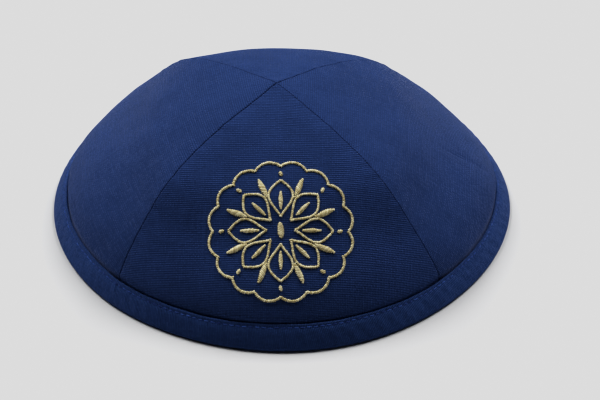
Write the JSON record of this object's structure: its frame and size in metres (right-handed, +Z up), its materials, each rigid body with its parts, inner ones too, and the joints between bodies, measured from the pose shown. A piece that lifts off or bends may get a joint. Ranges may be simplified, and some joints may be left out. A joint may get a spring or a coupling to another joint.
{
  "type": "kippah skullcap",
  "caption": "Shallow linen skullcap of four sewn panels with a folded bias binding round its rim, open below.",
  "frame": {"origin": "centre of the rim, on the surface that the cap rests on", "axes": "+Z up through the crown; the front panel faces -Y; +X to the right seen from the front"},
  "size_m": [0.164, 0.164, 0.051],
  "materials": {
    "crown_linen": "plain-woven navy linen, matt with a slight sheen at grazing angles",
    "binding_linen": "navy linen bias tape, matt, top-stitched near its upper edge"
  },
  "bodies": {
    "root": {"panel_front": "crown_linen", "panel_right": "crown_linen", "panel_back": "crown_linen", "panel_left": "crown_linen", "rim_binding": "binding_linen"}
  },
  "joints": []
}
